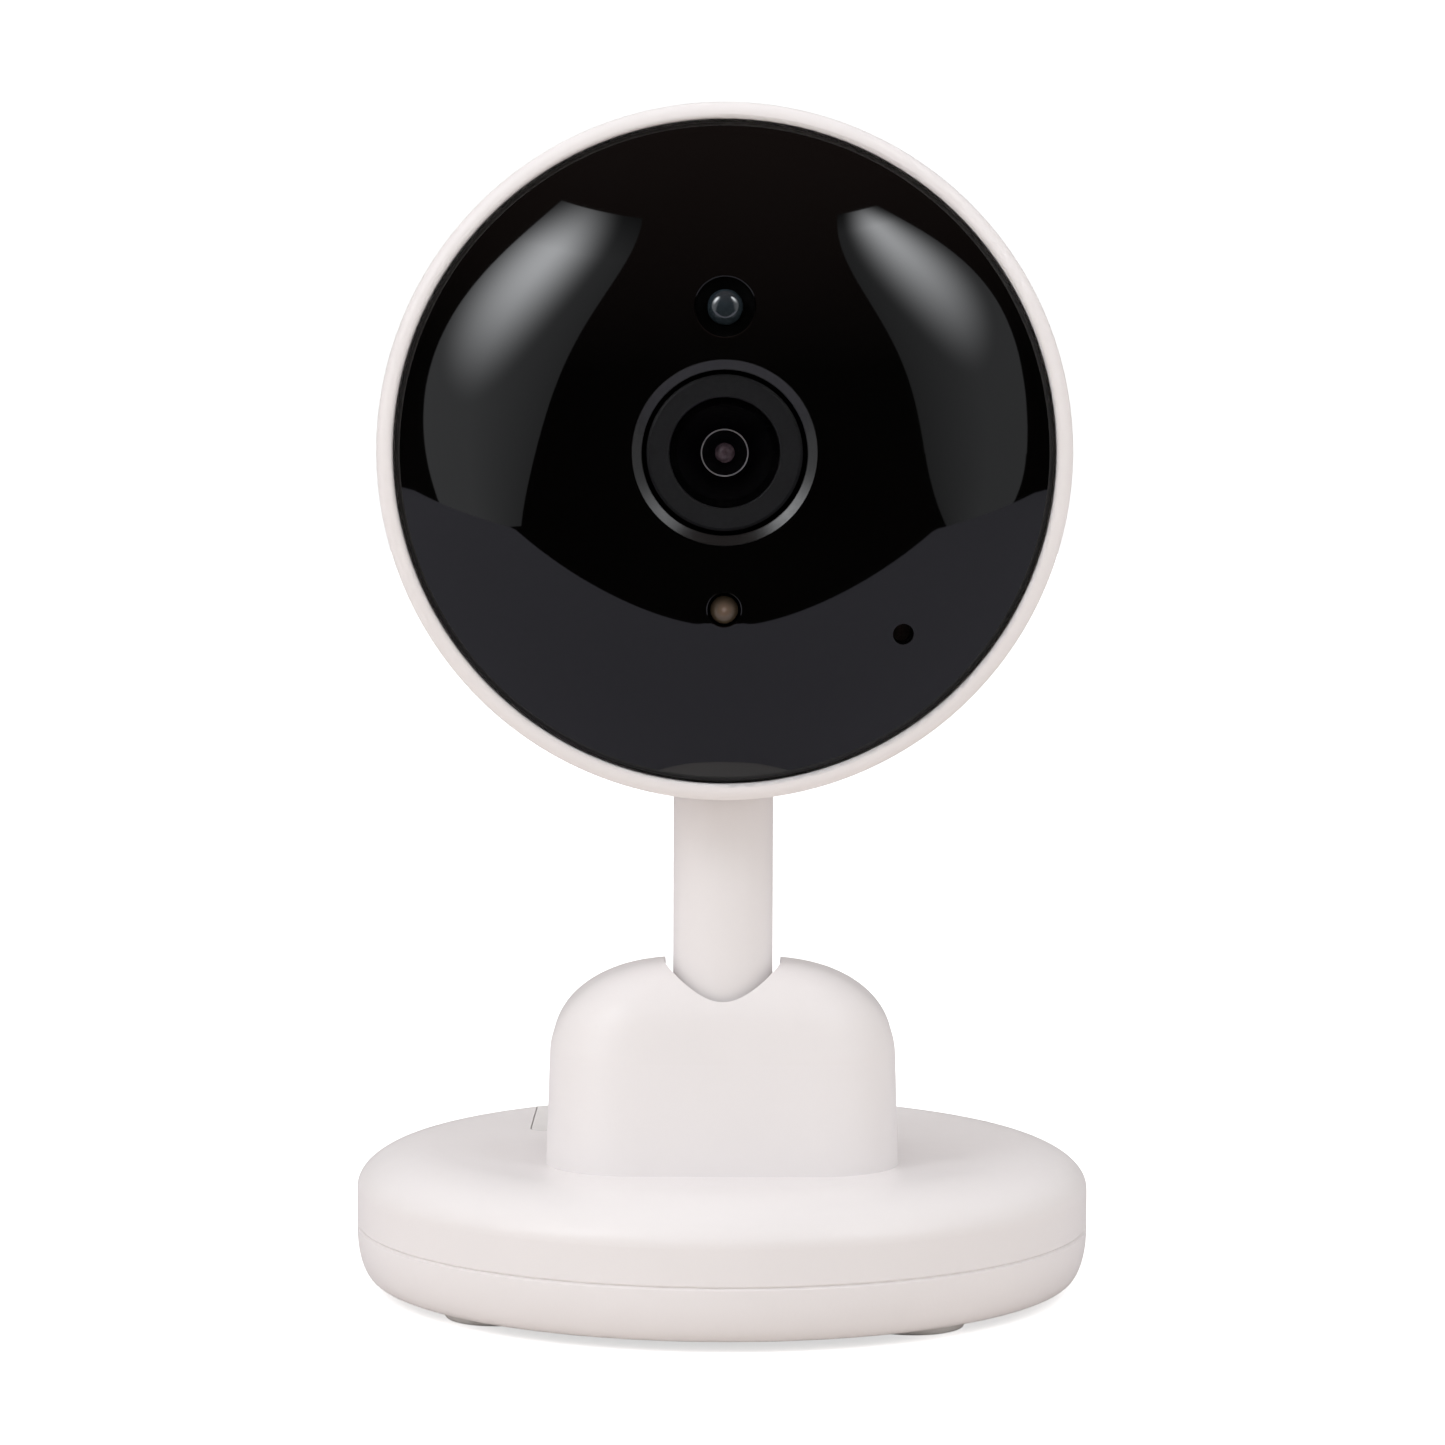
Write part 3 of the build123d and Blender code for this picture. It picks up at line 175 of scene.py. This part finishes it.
def lamp_epoxy_painted_highlight(centre):
    """Clear epoxy over a lamp's cup, with the lit cup painted in: a pale rose painted highlight at its axis, then
    beige, then a darker amber rim.
    """
    material, tree, shader = new_finish("cast_amber_epoxy_painted_highlight", IOR=1.53, Roughness=0.12)
    place = add(tree, "TexCoord").outputs["Object"]
    from_axis = add(tree, "VectorMath", {0: place, 1: centre.tolist()}, operation="SUBTRACT")
    flat = add(tree, "VectorMath", {0: from_axis.outputs[0], 1: (1.0, 0.0, 1.0)}, operation="MULTIPLY")
    away = add(tree, "VectorMath", {0: flat.outputs[0]}, operation="LENGTH")
    cloud = add(tree, "TexNoise", {"Vector": place, "Scale": 1 / (0.5 * MM), "Detail": 2.0})
    wobble = add(tree, "Math", {0: cloud.outputs["Fac"], 1: 0.25 * MM}, operation="MULTIPLY")
    reach = add(tree, "Math", {0: away.outputs["Value"], 1: wobble.outputs[0]}, operation="ADD")
    share = add(tree, "MapRange", {"Value": reach.outputs[0], "From Max": 1.35 * MM})
    # Painted highlight: the ramp is palest at the lamp's axis, where the lit cup shows through the epoxy, and darkens
    # outwards.
    ramp = add(tree, "ValToRGB", {0: share.outputs[0]})
    stops = ramp.color_ramp.elements
    stops[0].position, stops[0].color = 0.0, srgb("#8A7C76")
    stops[1].position, stops[1].color = 1.0, srgb("#3A3126")
    for position, code in ((0.3, "#66564A"), (0.75, "#4D4236")):
        stop = stops.new(position)
        stop.color = srgb(code)
    tree.links.new(ramp.outputs[0], shader.inputs["Base Color"])
    return material


finishes = {
    "white_abs": white_abs,
    "grey_tpu": grey_tpu,
    "clear_silicone": silicone,
    "zinc_steel": zinc_steel,
    "screw_steel": screw_steel,
    "nylon": nylon,
    "black_trim": black_trim,
    "lens_black": lens_black,
    "chip_black": chip_black,
    "green_board": green_board,
    "black_board": black_board,
    "connector_white": connector_white,
    "tin_plate": tin_plate,
    "grey_abs": grey_abs,
    "foam": foam,
    "copper_laminate": copper_laminate,
    "led_epoxy": led_epoxy,
    "dark_epoxy": dark_epoxy,
    "amber_epoxy": amber_epoxy,
    "black_acrylic": black_acrylic,
    "coated_glass": coated_glass,
}
slots = {part["node"]: part["material_slot"] for part in frame["record"]["subparts"]}
for name, node in nodes.items():
    node.data.materials.clear()
    node.data.materials.append(finishes[slots[name]])
nodes["sensor_sleeve"].data.materials[0] = black_flock


# ---- surfaces ----
MERGE_DISTANCE = 1e-7
SHARP_DEGREES = 35
TURN_STEPS = 128


def grid_mesh(name, points, closed=False):
    """A mesh from an array of points (rows by columns by 3), joined as quads, with a UV map of each point's order.

    closed joins the last column to the first. Rows that meet in one point are merged there.
    """
    rows, columns = points.shape[:2]
    order = np.arange(rows * columns).reshape(rows, columns)
    if closed:
        order = np.concatenate([order, order[:, :1]], axis=1)
    corners = [order[:-1, :-1], order[:-1, 1:], order[1:, 1:], order[1:, :-1]]
    quads = np.stack([c.ravel() for c in corners], axis=1)
    mesh = bpy.data.meshes.new(name)
    mesh.from_pydata(points.reshape(-1, 3).tolist(), [], quads.tolist())
    u, v = np.meshgrid(np.linspace(0, 1, order.shape[1]), np.linspace(0, 1, rows))
    flat = np.stack([u, v], axis=2)
    cells = [flat[:-1, :-1], flat[:-1, 1:], flat[1:, 1:], flat[1:, :-1]]
    loops = np.stack([c.reshape(-1, 2) for c in cells], axis=1)
    mesh.uv_layers.new(name="order").data.foreach_set("uv", loops.ravel())
    shape = bmesh.new()
    shape.from_mesh(mesh)
    bmesh.ops.remove_doubles(shape, verts=shape.verts, dist=MERGE_DISTANCE)
    if closed:
        bmesh.ops.recalc_face_normals(shape, faces=shape.faces)
    shape.to_mesh(mesh)
    shape.free()
    mesh.shade_smooth()
    mesh.set_sharp_from_angle(angle=math.radians(SHARP_DEGREES))
    obj = bpy.data.objects.new(name, mesh)
    bpy.context.scene.collection.objects.link(obj)
    return obj


def middle(node):
    """The middle of a node's box, in metres."""
    low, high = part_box(node)
    return np.array([(low[k] + high[k]) / 2 for k in range(3)])


def turned(name, centre, profile, finish, stands_for):
    """A piece turned about a line along Y: each profile point, a radius and a y, is carried once round the centre."""
    radius, depth = np.array(profile).T
    angle = np.linspace(0, 2 * np.pi, TURN_STEPS, endpoint=False)
    x = centre[0] + radius[:, None] * np.cos(angle)[None, :]
    z = centre[2] + radius[:, None] * np.sin(angle)[None, :]
    y = np.repeat(depth[:, None], TURN_STEPS, axis=1)
    piece = grid_mesh(name, np.stack([x, y, z], axis=2), closed=True)
    piece.data.materials.append(finish)
    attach(piece, "head")
    if stands_for:
        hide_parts(*stands_for)
    return piece


def cap(reach, curve, tip, count=24):
    """Profile of a ball cap from its tip to a reach: y = tip + curve - sqrt(curve^2 - radius^2)."""
    radius = reach * np.sin(np.linspace(0, np.pi / 2, count))
    return list(zip(radius, tip + curve - np.sqrt(curve ** 2 - radius ** 2)))


# ---- lens ----
lens = middle("lens_barrel")
glass_low, glass_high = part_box("lens_front_element")
glass_radius = (glass_high.x - glass_low.x) / 2
GLASS_CURVE = 13 * MM
GLASS_EDGE = 0.05 * MM
front = cap(glass_radius - GLASS_EDGE, GLASS_CURVE, glass_low.y)
rim_y = front[-1][1]
turned(
    "lens_front_glass",
    lens,
    front
    + [
        (glass_radius, rim_y + GLASS_EDGE),
        (glass_radius, glass_high.y),
    ]
    + [(glass_radius * f, glass_high.y) for f in (0.9, 0.6, 0.3, 0.0)],
    clear_glass,
    ["lens_front_element"],
)

# The cone behind the front glass is stepped like a thread, so that light entering at the side dies in it.
cone_low, cone_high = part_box("lens_spacer")
inner_low, inner_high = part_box("lens_inner_element")
CONE_STEPS = 9
CONE_RIM = 0.7 * MM
CONE_LAND = 0.2 * MM
STEP_RISE = 0.05 * MM
CONE_TAIL = 1.2 * MM
THROAT_SHARE = 1.04
throat = THROAT_SHARE * (inner_high.x - inner_low.x) / 2
cone_mouth = glass_radius - CONE_RIM
cone_back = cone_high.y - CONE_TAIL
step_radius = np.linspace(cone_mouth, throat, CONE_STEPS + 1)
step_y = np.linspace(cone_low.y + CONE_LAND, cone_back, CONE_STEPS + 1)
stepped = [(glass_radius, cone_high.y), (glass_radius, cone_low.y), (cone_mouth, cone_low.y)]
for k in range(CONE_STEPS):
    stepped += [(step_radius[k], step_y[k]), (step_radius[k + 1], step_y[k] + STEP_RISE)]
stepped += [(throat, cone_back), (throat, cone_high.y), (glass_radius, cone_high.y)]
turned("lens_stepped_cone", lens, stepped, black_flock, ["lens_spacer"])

# The inner glass sits in a flocked cell behind the front one, whose narrow polished lip shows as a pale circle: a
# painted highlight.
CELL_WALL = 0.12 * MM
LIP = 0.06 * MM
CELL_SETBACK = 0.5 * MM
CELL_DEPTH = 1.0 * MM
CORE_HOLE = 0.92 * MM
cell_rim = cone_low.y + CELL_SETBACK
cell_floor = cell_rim + CELL_DEPTH
cell = [(CORE_HOLE, inner_high.y), (CORE_HOLE, cell_floor), (throat - LIP, cell_rim + LIP)]
cell += [(throat + CELL_WALL, cell_rim + LIP), (throat + CELL_WALL, inner_high.y), (CORE_HOLE, inner_high.y)]
turned("lens_inner_cell", lens, cell, black_flock, [])
lip_turn = np.linspace(0, 2 * np.pi, 17)
lip_profile = [(throat + LIP * math.cos(t), cell_rim + LIP * math.sin(t)) for t in lip_turn]
turned("lens_cell_lip", lens, lip_profile, lip_painted_highlight, [])

# Its small steep dome shows as a rose core.
CORE_RADIUS = 0.9 * MM
CORE_CURVE = 1.0 * MM
CORE_STANDS = 1.15 * MM
CORE_SKIRT = 0.2 * MM
core = cap(CORE_RADIUS, CORE_CURVE, cell_floor - CORE_STANDS)
core += [(CORE_RADIUS, core[-1][1] + CORE_SKIRT), (CORE_RADIUS, inner_high.y), (0.0, inner_high.y)]
turned("lens_inner_glass", lens, core, rose_coated_glass, ["lens_inner_element"])


# ---- light sensor and status lamp ----
DOME_CURVE = 1.3
DOME_SHARE = 0.99
DOME_EDGE = 0.1 * MM


def epoxy_dome(name, node, finish):
    """A round-nosed epoxy body in a node's box: a ball cap in front, a small bevel, then a straight side."""
    low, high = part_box(node)
    radius = (high.x - low.x) / 2
    nose = cap(radius * DOME_SHARE, DOME_CURVE * radius, low.y)
    side = [(radius, nose[-1][1] + DOME_EDGE), (radius, high.y), (0.0, high.y)]
    turned(name, middle(node), nose + side, finish, [node])


epoxy_dome("light_sensor_dome", "light_sensor", dark_epoxy)
epoxy_dome("status_lamp_dome", "status_led", lamp_epoxy_painted_highlight(middle("status_led")))

# ---- studio ----
head_middle = np.array([lens[0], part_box("front_window")[0].y, lens[2]])
SOFTBOX_DISTANCE = 0.9
HOT_REACH = 0.48
PANEL_ROWS = 41
PANEL_COLUMNS = 21
EDGE_POWER = 5
RISES = [-15, -7, 2, 10, 18, 27, 36, 44, 52]


def softbox(name, side, inner, outer, glow):
    """A curved light panel: its points lie SOFTBOX_DISTANCE from the head, in directions between two edge lines.

    inner and outer are the turns of the two edges from the lens axis at the height angles in RISES, all in degrees.
    Fifth-power fits through them keep both edges smooth. glow holds softbox_glow's values after its name.
    """
    rise = np.linspace(RISES[0], RISES[-1], PANEL_ROWS)
    near = np.polyval(np.polyfit(RISES, inner, EDGE_POWER), rise)
    far = np.polyval(np.polyfit(RISES, outer, EDGE_POWER), rise)
    u = np.linspace(0, 1, PANEL_COLUMNS)
    turn = np.radians(near[:, None] + (far - near)[:, None] * u[None, :])
    lift = np.radians(np.repeat(rise[:, None], len(u), axis=1))
    direction = np.stack([side * np.sin(turn) * np.cos(lift), -np.cos(turn) * np.cos(lift), np.sin(lift)], axis=2)
    panel = grid_mesh(name, head_middle + SOFTBOX_DISTANCE * direction)
    panel.data.materials.append(softbox_glow(name + "_cloth", *glow))
    panel.visible_camera = False


def softbox_glow(name, hot_across, hot_up, top_fade, peak, rest):
    """Softbox cloth: brightest before its lamp, falling to a rest level, and dimmer at its inner and top edges."""
    material = bpy.data.materials.new(name)
    material.use_nodes = True
    tree = material.node_tree
    tree.nodes.clear()
    place = add(tree, "TexCoord").outputs["UV"]
    from_lamp = add(tree, "VectorMath", {0: place, 1: (hot_across, hot_up, 0.0)}, operation="SUBTRACT")
    far = add(tree, "VectorMath", {0: from_lamp.outputs[0]}, operation="LENGTH")
    level = add(
        tree,
        "MapRange",
        {"Value": far.outputs["Value"], "From Min": 0.0, "From Max": HOT_REACH, "To Min": peak, "To Max": rest},
        interpolation_type="SMOOTHSTEP",
    )
    spot = add(tree, "SeparateXYZ", {0: place})
    inner = add(tree, "MapRange", {"Value": spot.outputs[0], "From Max": 0.6, "To Min": 0.55})
    top = add(tree, "MapRange", {"Value": spot.outputs[1], "From Min": top_fade, "To Min": 1.0, "To Max": 0.3})
    edged = add(tree, "Math", {0: level.outputs[0], 1: inner.outputs[0]}, operation="MULTIPLY")
    faded = add(tree, "Math", {0: edged.outputs[0], 1: top.outputs[0]}, operation="MULTIPLY")
    glow = add(tree, "Emission", {"Color": srgb("#FAFCFF"), "Strength": faded.outputs[0]})
    add(tree, "OutputMaterial", {"Surface": glow.outputs[0]})
    return material


softbox(
    "softbox_left",
    -1,
    [47.5, 44.9, 42.2, 40.0, 37.7, 34.3, 30.2, 27.1, 27.1],
    [65.5, 68.3, 70.6, 71.6, 71.2, 69.0, 65.1, 60.7, 56.6],
    (0.64, 0.83, 0.85, 9.0, 0.74),
)
softbox(
    "softbox_right",
    1,
    [52.6, 47.6, 45.0, 43.7, 42.0, 38.9, 35.5, 33.9, 37.1],
    [63.0, 69.3, 71.3, 71.8, 72.2, 71.5, 67.7, 60.8, 51.7],
    (0.56, 0.92, 0.94, 7.8, 0.58),
)

# The paper on the table ends in a curve in front of the object. The floor in front of it is only seen directly.
FLOOR_HALF = 3.0
FLOOR_COLUMNS = 241
FLOOR_ROWS = 12
EDGE_NEAR = -0.109
EDGE_FAR = -0.205
EDGE_SLOPE = 0.5
EDGE_ROUND = 0.03
EDGE_DRIFT = 0.01


def paper(name, near, far, x):
    """A level sheet between two lines, each a y value for every x."""
    rows = np.linspace(0, 1, FLOOR_ROWS)[:, None]
    y = near[None, :] + (far - near)[None, :] * rows
    points = np.stack([np.repeat(x[None, :], FLOOR_ROWS, axis=0), y, np.zeros_like(y)], axis=2)
    sheet = grid_mesh(name, points)
    sheet.data.materials.append(paper_finish)
    return sheet


def paper_sweep(name):
    """Pale uncoated paper: matt and even, lifted where it is seen directly, and dimmer in what it sends on, with
    painted shade turning it a darker blue-grey where gloss sees it.
    """
    material, tree, shader = new_finish(name, IOR=1.45, Roughness=0.85)
    path = add(tree, "LightPath")
    place = add(tree, "TexCoord").outputs["Object"]
    fibre = add(tree, "TexNoise", {"Vector": place, "Scale": 1 / (0.6 * MM), "Detail": 3.0})
    pale = add(tree, "Mix", {0: fibre.outputs["Fac"], 6: srgb("#FBFBFB"), 7: srgb("#F8F8F8")}, data_type="RGBA")
    # Painted shade: where gloss sees the paper it shows a darker blue-grey, standing in for its shadowed look in
    # reflections.
    gloss_painted_shade = add(
        tree,
        "Mix",
        {0: path.outputs["Is Glossy Ray"], 6: pale.outputs[2], 7: srgb("#B0AFBC")},
        data_type="RGBA",
    )
    warm = add(
        tree,
        "Mix",
        {0: path.outputs["Is Diffuse Ray"], 6: gloss_painted_shade.outputs[2], 7: srgb("#E9E2DB")},
        data_type="RGBA",
    )
    lift = add(tree, "Math", {0: path.outputs["Is Camera Ray"], 1: 0.6}, operation="MULTIPLY")
    tree.links.new(warm.outputs[2], shader.inputs["Base Color"])
    tree.links.new(lift.outputs[0], shader.inputs["Emission Strength"])
    shader.inputs["Emission Color"].default_value = srgb("#FFFFFF")
    return material


paper_finish = paper_sweep("pale_paper_sweep")
sheet_x = np.linspace(-FLOOR_HALF, FLOOR_HALF, FLOOR_COLUMNS)
sheet_x = np.sign(sheet_x) * np.abs(sheet_x) ** 2 / FLOOR_HALF
edge_y = EDGE_NEAR - EDGE_SLOPE * (np.sqrt(sheet_x ** 2 + EDGE_ROUND ** 2) - EDGE_ROUND)
edge_y = np.maximum(edge_y, EDGE_FAR - EDGE_DRIFT * np.tanh(sheet_x ** 2))
back_y = np.full_like(sheet_x, FLOOR_HALF)
paper("table_paper", edge_y, back_y, sheet_x)
floor_paper = paper("floor_paper", -back_y, edge_y, sheet_x)
floor_paper.visible_glossy = False
floor_paper.visible_transmission = False


# The room: white to the eye, a fill from above for matt surfaces, and nearly dark where gloss looks.
world = bpy.data.worlds.new("studio")
bpy.context.scene.world = world
world.use_nodes = True
tree = world.node_tree
tree.nodes.clear()
path = add(tree, "LightPath")
look = add(tree, "SeparateXYZ", {0: add(tree, "TexCoord").outputs["Generated"]})
above = add(tree, "MapRange", {"Value": look.outputs[2], "From Min": -0.6, "To Min": 0.26, "To Max": 1.05})
ceiling = add(tree, "MapRange", {"Value": look.outputs[2], "From Min": 0.35, "To Max": 0.26})
leftward = add(tree, "Math", {0: look.outputs[0], 1: -0.045}, operation="MULTIPLY")
upper = add(tree, "Math", {0: above.outputs[0], 1: ceiling.outputs[0]}, operation="ADD")
level = add(tree, "Math", {0: upper.outputs[0], 1: leftward.outputs[0]}, operation="ADD")
seen = add(tree, "Background", {"Color": srgb("#FFFFFF"), "Strength": 1.05})
fill = add(tree, "Background", {"Color": srgb("#FFFDFC"), "Strength": level.outputs[0]})
overhead = add(tree, "MapRange", {"Value": look.outputs[2], "From Min": 0.3, "To Min": 0.008, "To Max": 0.13})
mirrored = add(tree, "Background", {"Color": srgb("#FFD9CF"), "Strength": overhead.outputs[0]})
through = {0: path.outputs["Is Glossy Ray"], 1: path.outputs["Is Transmission Ray"]}
sharp = add(tree, "Math", through, operation="MAXIMUM")
soft = add(tree, "MixShader", {0: sharp.outputs[0], 1: fill.outputs[0], 2: mirrored.outputs[0]})
room = add(tree, "MixShader", {0: path.outputs["Is Camera Ray"], 1: soft.outputs[0], 2: seen.outputs[0]})
add(tree, "OutputWorld", {"Surface": room.outputs[0]})

scene = bpy.context.scene
scene.view_settings.view_transform = "Standard"
scene.view_settings.look = "None"

# ---- camera ----
camera_data = bpy.data.cameras.new("camera")
camera = bpy.data.objects.new("camera", camera_data)
scene.collection.objects.link(camera)
SENSOR_MM = 36.0
LENS_MM = 106.23
DISTANCE = 0.4071
SIDEWAYS = -0.00011
PITCH = 3.62
ROLL = 0.2
camera_data.sensor_width = SENSOR_MM
camera_data.lens = LENS_MM
camera_data.clip_start = 0.01
camera_data.clip_end = 20.0
camera.location = (SIDEWAYS, -DISTANCE, head_middle[2])
camera.rotation_mode = "QUATERNION"
pitch = 0.5 * math.radians(90 - PITCH)
roll = 0.5 * math.radians(ROLL)
camera.rotation_quaternion = (
    math.cos(pitch) * math.cos(roll),
    math.sin(pitch) * math.cos(roll),
    -math.sin(pitch) * math.sin(roll),
    math.cos(pitch) * math.sin(roll),
)
scene.camera = camera
